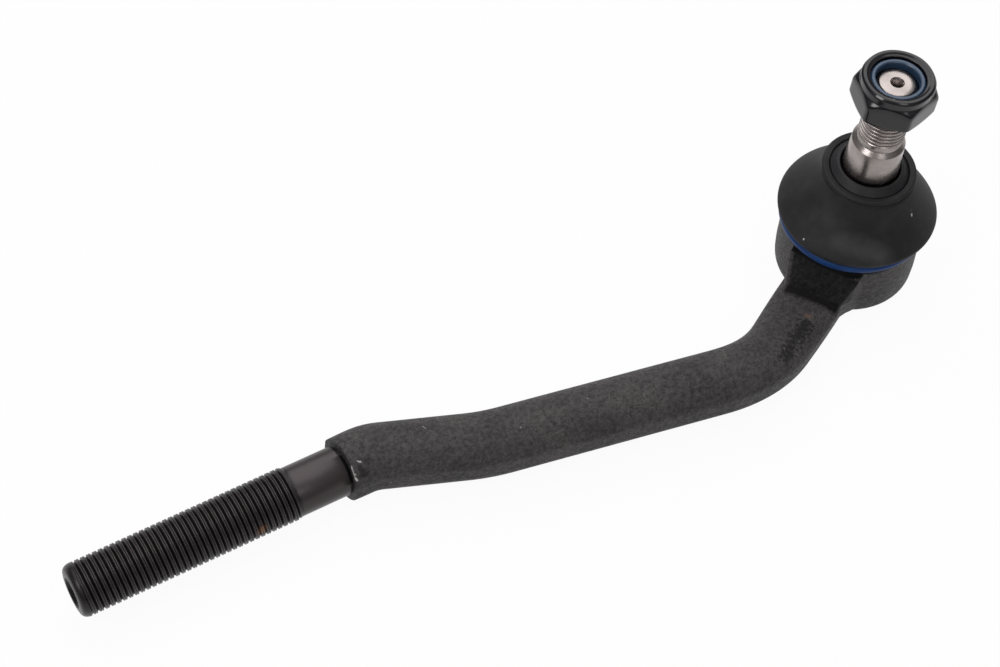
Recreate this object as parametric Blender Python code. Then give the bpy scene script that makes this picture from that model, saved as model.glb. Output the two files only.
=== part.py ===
"""Tie rod end: a bent forging with a ball cup, its ball stud, boot, rings and lock nut.

Metres, +Z up along the cup's axis. The origin is the middle of the cup's underside.
The threaded shank runs along -X and the arm bows towards -Y.
"""

import math

import bmesh
import bpy
import numpy as np
from mathutils import Matrix, Vector

for old in list(bpy.data.objects):
    bpy.data.objects.remove(old, do_unlink=True)

# Driving dimensions
OVERALL_REACH = 0.2225
ARM_Z = 0.0100
SHANK_Y = -0.0006
THREAD_DIAMETER = 0.0138
THREAD_LENGTH = 0.0560
SHANK_LENGTH = 0.0707
NECK_DIAMETER = 0.013
ARM_RADIUS = 0.00835
ARM_LAND_HALF_WIDTH = 0.0080
CUP_RADIUS = 0.01875
CUP_HEIGHT = 0.0188
BALL_RADIUS = 0.010
BALL_Z = 0.0140
STUD_LENGTH = 0.0570
STUD_THREAD_DIAMETER = 0.012
TAPER_TOP_RADIUS = 0.00681
TAPER_TOP = 0.0358
TAPER_ON_RADIUS = 0.05
NUT_ACROSS_FLATS = 0.019
NUT_BELOW_STUD_END = 0.0073
NUT_BOTTOM = STUD_LENGTH - NUT_BELOW_STUD_END
NUT_HEIGHT = 0.0092
STUD_LEAN = math.radians(2.6)
LEAN_AZIMUTH = math.radians(-36.0)

# Named clearances between pieces that touch on the real object
TOUCH_GAP = 0.0003
BALL_GAP = 0.00025
THREAD_GAP = 0.0003

# Arm route in plan, with the fillet radius at each bend
FIRST_BEND = (-0.1460, SHANK_Y)
FIRST_BEND_RADIUS = 0.011
SECOND_BEND = (-0.1171, -0.01135)
SECOND_BEND_RADIUS = 0.055
ELBOW = (-0.0446, -0.0255)
ELBOW_RADIUS = 0.033
NECK_AIM = (0.0004, -0.0008)
NECK_TOP_Z = 0.0100
NECK_BOTTOM_Z = 0.0008
NECK_LAND_HALF_WIDTH = 0.0082
NECK_SQUARENESS = 0.75
ARM_ROOT = 0.0168

# Gusset between the neck and the cup's rim
GUSSET_TOP_REACH = 0.0186
GUSSET_TOP_Z = 0.0174
GUSSET_TOP_HALF_WIDTH = 0.0100
GUSSET_FOOT_REACH = 0.0242
GUSSET_FOOT_Z = 0.0094
GUSSET_FOOT_HALF_WIDTH = 0.0075
GUSSET_TOE_REACH = 0.0260
GUSSET_TOE_Z = 0.0040
GUSSET_TOE_HALF_WIDTH = 0.0065
GUSSET_BACK_REACH = 0.0156
GUSSET_BACK_Z = 0.0025
GUSSET_SIDE_SHIFT = -0.0010

# Mesh fineness
TURNED_STEPS = 44
INNER_STEPS = 32
ARC_POINTS = 16
BEND_STEPS = 9


def material(name, colour, metallic, roughness):
    """A plain Principled material."""
    made = bpy.data.materials.new(name)
    made.use_nodes = True
    shader = made.node_tree.nodes["Principled BSDF"]
    shader.inputs["Base Color"].default_value = (*colour, 1.0)
    shader.inputs["Metallic"].default_value = metallic
    shader.inputs["Roughness"].default_value = roughness
    return made


def mesh_object(name, verts, faces, finish=None):
    """A closed mesh object with its normals turned outwards."""
    mesh = bpy.data.meshes.new(name)
    mesh.from_pydata([tuple(v) for v in verts], [], faces)
    obj = bpy.data.objects.new(name, mesh)
    bpy.context.scene.collection.objects.link(obj)
    shape = bmesh.new()
    shape.from_mesh(mesh)
    bmesh.ops.recalc_face_normals(shape, faces=shape.faces)
    shape.to_mesh(mesh)
    shape.free()
    if finish is not None:
        mesh.materials.append(finish)
    return obj


def loft(rings, closed_along=False):
    """Vertices and faces of rings joined one after the other; a one-point ring is a pole."""
    verts = []
    starts = []
    for ring in rings:
        starts.append((len(verts), len(ring)))
        verts.extend(ring)
    faces = []
    pairs = list(zip(starts[:-1], starts[1:]))
    if closed_along:
        pairs.append((starts[-1], starts[0]))
    for (a, count_a), (b, count_b) in pairs:
        count = max(count_a, count_b)
        for k in range(count):
            n = (k + 1) % count
            if count_a == 1:
                faces.append((a, b + n, b + k))
            elif count_b == 1:
                faces.append((a + k, a + n, b))
            else:
                faces.append((a + k, a + n, b + n, b + k))
    return verts, faces


def turned(profile, steps=TURNED_STEPS):
    """Rings of a profile of (radius, height) points turned round the Z axis."""
    turn = np.linspace(0.0, 2.0 * math.pi, steps, endpoint=False)
    rings = []
    for radius, height in profile:
        if radius < 1e-9:
            rings.append([(0.0, 0.0, height)])
        else:
            rings.append(np.stack([radius * np.cos(turn), radius * np.sin(turn), np.full(steps, height)], axis=1))
    return rings


def turned_object(name, profile, finish, steps=TURNED_STEPS):
    """A turned solid: a profile that starts and ends on the axis, or a closed loop off it."""
    on_axis = profile[0][0] < 1e-9
    verts, faces = loft(turned(profile, steps), closed_along=not on_axis)
    return mesh_object(name, verts, faces, finish)


def sphere_arc(radius, centre_z, low, high, points):
    """Profile points on a ball between two heights."""
    heights = np.linspace(low, high, points)
    return [(math.sqrt(radius**2 - (z - centre_z) ** 2), z) for z in heights]


def apply_union(target, other):
    """Joins another solid into the target and drops the helper."""
    step = target.modifiers.new("join", "BOOLEAN")
    step.operation = "UNION"
    step.solver = "EXACT"
    step.object = other
    graph = bpy.context.evaluated_depsgraph_get()
    joined = bpy.data.meshes.new_from_object(target.evaluated_get(graph))
    target.modifiers.clear()
    target.data = joined
    bpy.data.objects.remove(other, do_unlink=True)


# Arm path


def bend(before, corner, after, radius):
    """Points and unit directions along the round of one bend in plan."""
    before, corner, after = (np.array(p) for p in (before, corner, after))
    into = (corner - before) / np.linalg.norm(corner - before)
    out = (after - corner) / np.linalg.norm(after - corner)
    angle = math.atan2(into[0] * out[1] - into[1] * out[0], float(into @ out))
    tangent = radius * math.tan(abs(angle) / 2.0)
    side = np.array([-into[1], into[0]]) * math.copysign(1.0, angle)
    centre = corner - into * tangent + side * radius
    stations = []
    for turn in np.linspace(0.0, angle, BEND_STEPS):
        cosine, sine = math.cos(turn), math.sin(turn)
        spin = np.array([[cosine, -sine], [sine, cosine]])
        stations.append((centre - spin @ side * radius, spin @ into))
    return stations


SHANK_END = (-OVERALL_REACH, SHANK_Y)
neck_line = np.array(NECK_AIM) - np.array(ELBOW)
NECK_DIRECTION = neck_line / np.linalg.norm(neck_line)
first = bend(SHANK_END, FIRST_BEND, SECOND_BEND, FIRST_BEND_RADIUS)
second = bend(FIRST_BEND, SECOND_BEND, ELBOW, SECOND_BEND_RADIUS)
elbow = bend(SECOND_BEND, ELBOW, NECK_AIM, ELBOW_RADIUS)


def between(start, end, count):
    """Stations on the straight run between two stations."""
    shares = np.linspace(0.0, 1.0, count + 2)[1:-1]
    return [(start[0] + (end[0] - start[0]) * t, start[1]) for t in shares]


neck_end = (np.array(NECK_AIM) - NECK_DIRECTION * ARM_ROOT, NECK_DIRECTION)
arm_stations = first + between(first[-1], second[0], 1) + second + between(second[-1], elbow[0], 4)
drop_stations = elbow + between(elbow[-1], neck_end, 5) + [neck_end]


def smooth_step(share):
    """An even ease from 0 to 1."""
    share = min(max(share, 0.0), 1.0)
    return share * share * (3.0 - 2.0 * share)


def section(station, top, bottom, land_half_width, flatness, squareness):
    """One ring of the arm: a round top and bottom with flat lands on both sides."""
    start = math.pi / (2 * ARC_POINTS) if flatness is None else flatness
    upper = np.linspace(start, math.pi - start, ARC_POINTS)
    angles = np.concatenate([upper, upper + math.pi])
    cosine, sine = np.cos(angles), np.sin(angles)
    across = np.sign(cosine) * np.abs(cosine) ** squareness
    across = across * land_half_width / math.cos(start) ** squareness
    middle, half = (top + bottom) / 2.0, (top - bottom) / 2.0
    height = middle + half * np.sign(sine) * np.abs(sine) ** squareness
    (x, y), (dx, dy) = station
    return np.stack([x - dy * across, y + dx * across, height], axis=1)


def round_section(distance, radius):
    """One round ring of the shank at a distance from its end."""
    station = (np.array([SHANK_END[0] + distance, SHANK_Y]), np.array([1.0, 0.0]))
    cut = radius * math.cos(math.pi / (2 * ARC_POINTS))
    return section(station, ARM_Z + radius, ARM_Z - radius, cut, None, 1.0)


# Forged body

LAND_START = math.acos(ARM_LAND_HALF_WIDTH / ARM_RADIUS)
THREAD_RADIUS = THREAD_DIAMETER / 2.0
NECK_RADIUS = NECK_DIAMETER / 2.0
SHANK_END_RADIUS = 0.0060
SHANK_CHAMFER = 0.0025
CENTRE_HOLE_RADIUS = 0.0022
CENTRE_HOLE_DEPTH = 0.0040
THREAD_RUNOUT = 0.0012
SHOULDER_ROUND = 0.0040
SHOULDER_FALL = 0.0005

shank_rings = [
    [(SHANK_END[0] + CENTRE_HOLE_DEPTH, SHANK_Y, ARM_Z)],
    round_section(0.0, CENTRE_HOLE_RADIUS),
    round_section(0.0, SHANK_END_RADIUS),
    round_section(SHANK_CHAMFER, THREAD_RADIUS),
    round_section(THREAD_LENGTH, THREAD_RADIUS),
    round_section(THREAD_LENGTH + THREAD_RUNOUT, NECK_RADIUS),
    round_section(SHANK_LENGTH - 0.0006, NECK_RADIUS),
    round_section(SHANK_LENGTH - 0.0003, NECK_RADIUS + 0.0007),
]
shoulder = (np.array([SHANK_END[0] + SHANK_LENGTH, SHANK_Y]), np.array([1.0, 0.0]))
arm_top, arm_bottom = ARM_Z + ARM_RADIUS, ARM_Z - ARM_RADIUS
arm_places = [shoulder] + arm_stations
hops = [float(np.linalg.norm(b[0] - a[0])) for a, b in zip(arm_places[:-1], arm_places[1:])]
arm_rings = []
for place, gone in zip(arm_places, np.concatenate([[0.0], np.cumsum(hops)])):
    fall = SHOULDER_FALL * (1.0 - min(gone / SHOULDER_ROUND, 1.0)) ** 2
    arm_rings.append(
        section(place, arm_top - fall, arm_bottom + fall, ARM_LAND_HALF_WIDTH - fall, LAND_START, 1.0)
    )
steps = [float(np.linalg.norm(b[0] - a[0])) for a, b in zip(drop_stations[:-1], drop_stations[1:])]
run = np.concatenate([[0.0], np.cumsum(steps)])
drop_end = run[-1] - (GUSSET_FOOT_REACH - ARM_ROOT)
for place, gone in zip(drop_stations, run):
    share = smooth_step(gone / drop_end)
    arm_rings.append(
        section(
            place,
            arm_top + (NECK_TOP_Z - arm_top) * share,
            arm_bottom + (NECK_BOTTOM_Z - arm_bottom) * share,
            ARM_LAND_HALF_WIDTH + (NECK_LAND_HALF_WIDTH - ARM_LAND_HALF_WIDTH) * share,
            LAND_START,
            1.0 + (NECK_SQUARENESS - 1.0) * share,
        )
    )
root_middle = (*neck_end[0], (NECK_TOP_Z + NECK_BOTTOM_Z) / 2.0)
forging_steel = material("forged_black_steel", (0.045, 0.042, 0.042), 0.6, 0.55)
verts, faces = loft(shank_rings + arm_rings + [[root_middle]])
forged_body = mesh_object("forged_body", verts, faces, forging_steel)

# Cup, with its cavity, mouth and spigot in one turned loop

LIP_RADIUS = 0.0128
LIP_THICKNESS = 0.0006
CAVITY_RADIUS = 0.0146
CAVITY_ABOVE_BALL = 0.0020
CAVITY_TOP = BALL_Z + CAVITY_ABOVE_BALL
MOUTH_RADIUS = 0.0096
MOUTH_ABOVE_BALL = 0.0056
MOUTH_Z = BALL_Z + MOUTH_ABOVE_BALL
MOUTH_FLARE = 0.0116
SPIGOT_TOP = 0.0222
SPIGOT_GROOVE_RADIUS = 0.0160
SPIGOT_LIP_RADIUS = 0.0166
SPIGOT_LIP_Z = 0.0214
BASE_RADIUS = 0.0168

cup_profile = [
    (LIP_RADIUS, 0.0),
    (BASE_RADIUS, 0.0),
    (CUP_RADIUS - 0.0010, 0.0005),
    (CUP_RADIUS - 0.0004, 0.0015),
    (CUP_RADIUS, 0.0035),
    (CUP_RADIUS, 0.0070),
    (CUP_RADIUS - 0.0002, CUP_HEIGHT - 0.0008),
    (CUP_RADIUS - 0.0006, CUP_HEIGHT - 0.0001),
    (CUP_RADIUS - 0.0011, CUP_HEIGHT),
    (SPIGOT_GROOVE_RADIUS, CUP_HEIGHT),
    (SPIGOT_GROOVE_RADIUS, SPIGOT_LIP_Z - 0.0003),
    (SPIGOT_LIP_RADIUS, SPIGOT_LIP_Z),
    (SPIGOT_LIP_RADIUS, SPIGOT_TOP - 0.0004),
    (SPIGOT_LIP_RADIUS - 0.0005, SPIGOT_TOP),
    (MOUTH_FLARE, SPIGOT_TOP),
    (MOUTH_RADIUS, MOUTH_Z + 0.0004),
    (MOUTH_RADIUS, MOUTH_Z),
    (CAVITY_RADIUS, CAVITY_TOP),
    (CAVITY_RADIUS, LIP_THICKNESS),
    (LIP_RADIUS, LIP_THICKNESS),
]
cup = turned_object("cup_helper", cup_profile, forging_steel)

# Gusset wedge, built in the neck's own direction

reach = -NECK_DIRECTION
side = np.array([-reach[1], reach[0]])
gusset_corners = []
for distance, half_width, height in (
    (GUSSET_TOP_REACH, GUSSET_TOP_HALF_WIDTH, GUSSET_TOP_Z),
    (GUSSET_BACK_REACH, GUSSET_TOP_HALF_WIDTH, GUSSET_TOP_Z),
    (GUSSET_FOOT_REACH, GUSSET_FOOT_HALF_WIDTH, GUSSET_FOOT_Z),
    (GUSSET_TOE_REACH, GUSSET_TOE_HALF_WIDTH, GUSSET_TOE_Z),
    (GUSSET_BACK_REACH, GUSSET_TOP_HALF_WIDTH, GUSSET_BACK_Z),
):
    for hand in (-1.0, 1.0):
        flat = reach * distance - side * (GUSSET_SIDE_SHIFT + half_width * hand)
        gusset_corners.append((flat[0], flat[1], height))
wedge = bmesh.new()
for corner in gusset_corners:
    wedge.verts.new(corner)
bmesh.ops.convex_hull(wedge, input=wedge.verts)
wedge_mesh = bpy.data.meshes.new("gusset_helper")
wedge.to_mesh(wedge_mesh)
wedge.free()
gusset = bpy.data.objects.new("gusset_helper", wedge_mesh)
bpy.context.scene.collection.objects.link(gusset)

apply_union(forged_body, gusset)
apply_union(forged_body, cup)

# Stud frame: an empty at the ball's centre, leaning as the photograph shows it

lean_axis = Vector((-math.sin(LEAN_AZIMUTH), math.cos(LEAN_AZIMUTH), 0.0))
stud_frame = bpy.data.objects.new("stud_frame", None)
bpy.context.scene.collection.objects.link(stud_frame)
stud_frame.matrix_world = Matrix.Translation((0.0, 0.0, BALL_Z)) @ Matrix.Rotation(STUD_LEAN, 4, lean_axis)


def taper_radius(height):
    """Radius of the stud's taper at a height above the ball's centre."""
    return TAPER_TOP_RADIUS + TAPER_ON_RADIUS * (TAPER_TOP - height)


# Ball stud

BALL_FLAT = -0.0082
STUD_NECK_RADIUS = 0.0055
STUD_NECK_TOP = 0.0140
TAPER_FOOT = 0.0175
TAPER_EDGE = 0.0013
STUD_RELIEF_RADIUS = 0.0053
STUD_RELIEF_TOP = 0.0389
STUD_CHAMFER = 0.0018
STUD_END_RADIUS = 0.0044
STUD_HOLE_RADIUS = 0.0018
STUD_HOLE_DEPTH = 0.0033
STUD_RADIUS = STUD_THREAD_DIAMETER / 2.0

ball_neck = math.sqrt(BALL_RADIUS**2 - STUD_NECK_RADIUS**2)
stud_profile = (
    [(0.0, BALL_FLAT)]
    + sphere_arc(BALL_RADIUS, 0.0, BALL_FLAT, ball_neck, 18)
    + [
        (STUD_NECK_RADIUS, STUD_NECK_TOP),
        (taper_radius(TAPER_FOOT), TAPER_FOOT),
        (TAPER_TOP_RADIUS, TAPER_TOP),
        (STUD_RELIEF_RADIUS + 0.0004, TAPER_TOP + TAPER_EDGE),
        (STUD_RELIEF_RADIUS, TAPER_TOP + TAPER_EDGE + 0.0003),
        (STUD_RELIEF_RADIUS, STUD_RELIEF_TOP - 0.0006),
        (STUD_RADIUS, STUD_RELIEF_TOP),
        (STUD_RADIUS, STUD_LENGTH - STUD_CHAMFER),
        (STUD_END_RADIUS, STUD_LENGTH),
        (STUD_HOLE_RADIUS, STUD_LENGTH),
        (0.0, STUD_LENGTH - STUD_HOLE_DEPTH),
    ]
)
bright_steel = material("machined_steel", (0.48, 0.45, 0.44), 1.0, 0.3)
ball_stud = turned_object("ball_stud", stud_profile, bright_steel, 40)
ball_stud.parent = stud_frame

# Bearing seats, spring and end cover, round the ball inside the cup

SEAT_RADIUS = CAVITY_RADIUS - TOUCH_GAP
SEAT_BALL_RADIUS = BALL_RADIUS + BALL_GAP
SEAT_SPLIT_GAP = 0.0002
UPPER_SEAT_LOW = BALL_Z + SEAT_SPLIT_GAP
UPPER_SEAT_HEIGHT = 0.0047
UPPER_SEAT_TOP = BALL_Z + UPPER_SEAT_HEIGHT
UPPER_SEAT_RIM = 0.01045
LOWER_SEAT_TOP = BALL_Z - SEAT_SPLIT_GAP
LOWER_SEAT_DEPTH = 0.0084
LOWER_SEAT_LOW = BALL_Z - LOWER_SEAT_DEPTH
LOWER_SEAT_HOLE = 0.0068
COVER_LOW = LIP_THICKNESS + TOUCH_GAP
COVER_TOP = 0.0024
SPRING_OUTER = 0.0132
SPRING_INNER = 0.0062
SPRING_THICKNESS = 0.0009
SPRING_LOW = COVER_TOP + TOUCH_GAP
SPRING_TOP = LOWER_SEAT_LOW - TOUCH_GAP

acetal = material("bearing_acetal", (0.75, 0.73, 0.68), 0.0, 0.45)
upper_profile = sphere_arc(SEAT_BALL_RADIUS, BALL_Z, UPPER_SEAT_LOW, UPPER_SEAT_TOP, 8) + [
    (UPPER_SEAT_RIM, UPPER_SEAT_TOP),
    (SEAT_RADIUS, CAVITY_TOP - 0.00017),
    (SEAT_RADIUS, UPPER_SEAT_LOW),
]
turned_object("upper_bearing_seat", upper_profile, acetal, INNER_STEPS)
hole_z = BALL_Z - math.sqrt(SEAT_BALL_RADIUS**2 - LOWER_SEAT_HOLE**2)
lower_profile = sphere_arc(SEAT_BALL_RADIUS, BALL_Z, hole_z, LOWER_SEAT_TOP, 10) + [
    (SEAT_RADIUS, LOWER_SEAT_TOP),
    (SEAT_RADIUS, LOWER_SEAT_LOW + 0.0005),
    (SEAT_RADIUS - 0.0005, LOWER_SEAT_LOW),
    (LOWER_SEAT_HOLE, LOWER_SEAT_LOW),
]
turned_object("lower_bearing_seat", lower_profile, acetal, INNER_STEPS)
spring_steel = material("spring_steel", (0.30, 0.30, 0.31), 1.0, 0.4)
spring_profile = [
    (SPRING_INNER, SPRING_TOP - SPRING_THICKNESS),
    (SPRING_OUTER, SPRING_LOW),
    (SPRING_OUTER, SPRING_LOW + SPRING_THICKNESS),
    (SPRING_INNER, SPRING_TOP),
]
turned_object("pressure_spring", spring_profile, spring_steel, INNER_STEPS)
cover_steel = material("zinc_plated_cover", (0.42, 0.42, 0.40), 1.0, 0.45)
cover_profile = [
    (0.0, COVER_LOW + 0.0003),
    (0.0080, COVER_LOW + 0.0003),
    (0.0090, COVER_LOW),
    (SEAT_RADIUS, COVER_LOW),
    (SEAT_RADIUS, COVER_TOP),
    (0.0, COVER_TOP),
]
turned_object("end_cover", cover_profile, cover_steel, INNER_STEPS)

# Dust boot: each ring turns about the ball's centre by its share of the stud's lean

BEAD_LOW = CUP_HEIGHT + 0.00035
BEAD_RADIUS = 0.0182
BEAD_INNER = SPIGOT_GROOVE_RADIUS + TOUCH_GAP
BEAD_TOP = SPIGOT_LIP_Z - TOUCH_GAP - 0.0003
BOOT_FIXED_Z = 0.0216
BOOT_CARRIED_Z = 0.0372
LIP_OUTER = 0.0122
LIP_TOP = 0.0388
LIP_BORE = 0.0113
LEDGE_Z = 0.0371
LEDGE_BORE = 0.0094

boot_profile = [
    (BEAD_INNER, BEAD_LOW),
    (BEAD_RADIUS - 0.0004, BEAD_LOW),
    (BEAD_RADIUS, BEAD_LOW + 0.0005),
    (BEAD_RADIUS, 0.0215),
    (0.0186, 0.02175),
    (0.0195, 0.0220),
    (0.0203, 0.0227),
    (0.0206, 0.0236),
    (0.0203, 0.0246),
    (0.0193, 0.0259),
    (0.0179, 0.0277),
    (0.0164, 0.0297),
    (0.0150, 0.0318),
    (0.0137, 0.0338),
    (0.0129, 0.0354),
    (0.0121, 0.0367),
    (LIP_OUTER - 0.0001, LIP_TOP - 0.0015),
    (LIP_OUTER, LIP_TOP - 0.0009),
    (LIP_OUTER - 0.0003, LIP_TOP - 0.0002),
    (LIP_OUTER - 0.0006, LIP_TOP),
    (LIP_BORE + 0.0001, LIP_TOP - 0.0003),
    (LIP_BORE, LEDGE_Z),
    (LEDGE_BORE, LEDGE_Z),
    (LEDGE_BORE, LEDGE_Z - 0.0012),
    (0.0110, 0.0351),
    (0.0119, 0.0336),
    (0.0133, 0.0315),
    (0.0147, 0.0294),
    (0.0161, 0.0274),
    (0.0174, 0.0256),
    (0.0184, 0.0243),
    (0.0185, 0.0236),
    (0.0180, 0.0231),
    (0.0174, 0.0227),
    (0.0171, 0.0223),
    (0.0171, SPIGOT_LIP_Z - 0.0001),
    (BEAD_INNER, BEAD_TOP),
]


def leaning_ring(radius, height):
    """One ring of the boot, turned about the ball's centre by its share of the lean."""
    share = smooth_step((height - BOOT_FIXED_Z) / (BOOT_CARRIED_Z - BOOT_FIXED_Z))
    turn = np.array(Matrix.Rotation(STUD_LEAN * share, 3, lean_axis))
    flat = turned([(radius, height - BALL_Z)])[0]
    return flat @ turn.T + np.array([0.0, 0.0, BALL_Z])


rubber = material("boot_rubber", (0.028, 0.027, 0.028), 0.0, 0.6)
verts, faces = loft([leaning_ring(r, z) for r, z in boot_profile], closed_along=True)
mesh_object("dust_boot", verts, faces, rubber)

# Boot clamp ring and mouth ring

CLAMP_INNER = BEAD_RADIUS + TOUCH_GAP
CLAMP_OUTER = 0.0197
CLAMP_LOW = BEAD_LOW
CLAMP_TOP = 0.0213
CLAMP_ROUND = 0.0006
clamp_profile = [
    (CLAMP_INNER, CLAMP_LOW),
    (CLAMP_OUTER - CLAMP_ROUND, CLAMP_LOW),
    (CLAMP_OUTER - 0.0002, CLAMP_LOW + 0.0002),
    (CLAMP_OUTER, CLAMP_LOW + CLAMP_ROUND),
    (CLAMP_OUTER, CLAMP_TOP - CLAMP_ROUND),
    (CLAMP_OUTER - 0.0002, CLAMP_TOP - 0.0002),
    (CLAMP_OUTER - CLAMP_ROUND, CLAMP_TOP),
    (CLAMP_INNER, CLAMP_TOP),
]
blue_plastic = material("blue_ring", (0.014, 0.07, 0.24), 0.0, 0.3)
turned_object("boot_clamp_ring", clamp_profile, blue_plastic)

MOUTH_RING_OUTER = LIP_BORE - TOUCH_GAP
MOUTH_RING_LOW = LEDGE_Z - BALL_Z + TOUCH_GAP
MOUTH_RING_EDGE = 0.0248
MOUTH_RING_TOP = 0.0266
MOUTH_RING_HOLE = 0.0079
MOUTH_RING_LAND = 0.0250
mouth_profile = [
    (taper_radius(MOUTH_RING_LOW) + TOUCH_GAP, MOUTH_RING_LOW),
    (MOUTH_RING_OUTER, MOUTH_RING_LOW),
    (MOUTH_RING_OUTER, MOUTH_RING_EDGE - 0.0004),
    (MOUTH_RING_OUTER - 0.0004, MOUTH_RING_EDGE),
    (0.0095, 0.0259),
    (MOUTH_RING_HOLE + 0.0005, MOUTH_RING_TOP),
    (MOUTH_RING_HOLE, MOUTH_RING_TOP - 0.0002),
    (taper_radius(MOUTH_RING_LAND) + TOUCH_GAP, MOUTH_RING_LAND),
]
soft_ring = material("mouth_ring_rubber", (0.035, 0.034, 0.036), 0.0, 0.5)
mouth_ring = turned_object("boot_mouth_ring", mouth_profile, soft_ring, 48)
mouth_ring.parent = stud_frame

# Lock nut: a hexagon with a chamfered foot and a round collar, bored for the thread

HEX_HEIGHT = 0.0063
HEX_TURN = math.radians(-135.3)
COLLAR_RADIUS = 0.0089
COLLAR_SHOULDER = 0.0094
COLLAR_ROOT = 0.0070
COLLAR_BORE = 0.0067
POCKET_RADIUS = 0.0072
POCKET_LOW = 0.0058
POCKET_TOP = 0.0086
NUT_BORE = STUD_RADIUS + THREAD_GAP
NUT_CHAMFER = 0.0009
SIDES = 6
SIDE_STEPS = 8

hex_corner = NUT_ACROSS_FLATS / 2.0 / math.cos(math.pi / SIDES)
nut_steps = SIDES * SIDE_STEPS
turn = np.linspace(0.0, 2.0 * math.pi, nut_steps, endpoint=False)
from_flat = np.abs((np.degrees(turn) + 30.0) % 60.0 - 30.0)
hex_radius = NUT_ACROSS_FLATS / 2.0 / np.cos(np.radians(from_flat))


def nut_ring(limit, height):
    """A ring of the nut: the hexagon, cut back to a limiting radius."""
    radius = np.minimum(hex_radius, limit)
    angle = turn + HEX_TURN
    return np.stack([radius * np.cos(angle), radius * np.sin(angle), np.full(nut_steps, NUT_BOTTOM + height)], axis=1)


CHAMFER_RADIUS = NUT_ACROSS_FLATS / 2.0 - 0.0002
CHAMFER_RISE = (hex_corner - CHAMFER_RADIUS) * math.tan(math.radians(30.0))
nut_rings = [
    nut_ring(CHAMFER_RADIUS, 0.0),
    nut_ring(hex_corner - 0.0004, CHAMFER_RISE - 0.0002),
    nut_ring(hex_corner, CHAMFER_RISE),
    nut_ring(hex_corner, HEX_HEIGHT - 0.0007),
    nut_ring(hex_corner - 0.0008, HEX_HEIGHT - 0.0002),
    nut_ring(COLLAR_SHOULDER, HEX_HEIGHT + 0.0001),
    nut_ring(COLLAR_RADIUS, COLLAR_ROOT),
    nut_ring(COLLAR_RADIUS, NUT_HEIGHT - 0.0008),
    nut_ring(COLLAR_RADIUS - 0.0003, NUT_HEIGHT - 0.0002),
    nut_ring(COLLAR_RADIUS - 0.0009, NUT_HEIGHT),
    nut_ring(COLLAR_BORE, POCKET_TOP + TOUCH_GAP),
    nut_ring(POCKET_RADIUS, POCKET_TOP),
    nut_ring(POCKET_RADIUS, POCKET_LOW),
    nut_ring(NUT_BORE, POCKET_LOW),
    nut_ring(NUT_BORE, NUT_CHAMFER),
    nut_ring(NUT_BORE + 0.0006, 0.0),
]
black_zinc = material("black_plated_nut", (0.03, 0.03, 0.032), 0.8, 0.25)
verts, faces = loft(nut_rings, closed_along=True)
lock_nut = mesh_object("lock_nut", verts, faces, black_zinc)
lock_nut.parent = stud_frame

INSERT_OUTER = POCKET_RADIUS - TOUCH_GAP
INSERT_BORE = 0.0055
insert_profile = [
    (INSERT_BORE, NUT_BOTTOM + POCKET_LOW + TOUCH_GAP),
    (INSERT_OUTER, NUT_BOTTOM + POCKET_LOW + TOUCH_GAP),
    (INSERT_OUTER, NUT_BOTTOM + POCKET_TOP - TOUCH_GAP - 0.0002),
    (COLLAR_BORE - TOUCH_GAP, NUT_BOTTOM + POCKET_TOP),
    (INSERT_BORE + 0.0003, NUT_BOTTOM + POCKET_TOP),
    (INSERT_BORE, NUT_BOTTOM + POCKET_TOP - 0.0003),
]
blue_nylon = material("blue_nylon", (0.07, 0.14, 0.27), 0.0, 0.4)
insert = turned_object("nylon_insert", insert_profile, blue_nylon, 48)
insert.parent = stud_frame
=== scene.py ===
"""Looks of a tie rod end: forged arm, ball stud, rubber boot, blue clamp ring and lock nut.

Metres, +Z up along the cup's axis. The origin is the middle of the cup's underside, the
threaded shank runs along -X and the arm bows towards -Y. Sizes repeat those of the solids.
"""

import logging
import math
from dataclasses import dataclass, field
from enum import Enum

import bmesh
import bpy
import numpy as np
from mathutils import Euler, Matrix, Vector


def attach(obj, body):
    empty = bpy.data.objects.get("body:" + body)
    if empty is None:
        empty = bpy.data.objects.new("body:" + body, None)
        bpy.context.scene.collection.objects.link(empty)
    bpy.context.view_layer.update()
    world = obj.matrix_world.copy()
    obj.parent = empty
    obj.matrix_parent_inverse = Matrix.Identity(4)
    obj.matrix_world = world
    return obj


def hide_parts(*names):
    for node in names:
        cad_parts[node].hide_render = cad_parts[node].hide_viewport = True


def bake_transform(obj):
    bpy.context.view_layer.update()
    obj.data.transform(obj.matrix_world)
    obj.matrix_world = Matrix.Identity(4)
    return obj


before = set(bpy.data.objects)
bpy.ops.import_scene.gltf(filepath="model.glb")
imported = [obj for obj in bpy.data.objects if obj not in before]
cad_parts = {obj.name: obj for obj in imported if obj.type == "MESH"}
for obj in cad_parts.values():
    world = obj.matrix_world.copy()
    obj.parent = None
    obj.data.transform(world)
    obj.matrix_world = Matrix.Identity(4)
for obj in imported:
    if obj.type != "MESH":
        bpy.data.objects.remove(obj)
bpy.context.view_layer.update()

LOG = logging.getLogger("tie_rod_end")
FULL_TURN = 2.0 * math.pi
BALL_CENTRE = np.array([0.0, 0.0, 0.0140])
STUD_LEAN = math.radians(2.6)
LEAN_AZIMUTH = math.radians(-36.0)
SHOULDER_TILT = (0.076, -0.111)


class Body(Enum):
    """CAD bodies that the pieces ride on."""

    HOUSING = "housing"
    BOOT = "boot"
    BOOT_MOUTH = "boot_mouth"
    STUD = "stud"
    INSERT = "insert"
    NUT = "nut"


# Meshes


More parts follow.
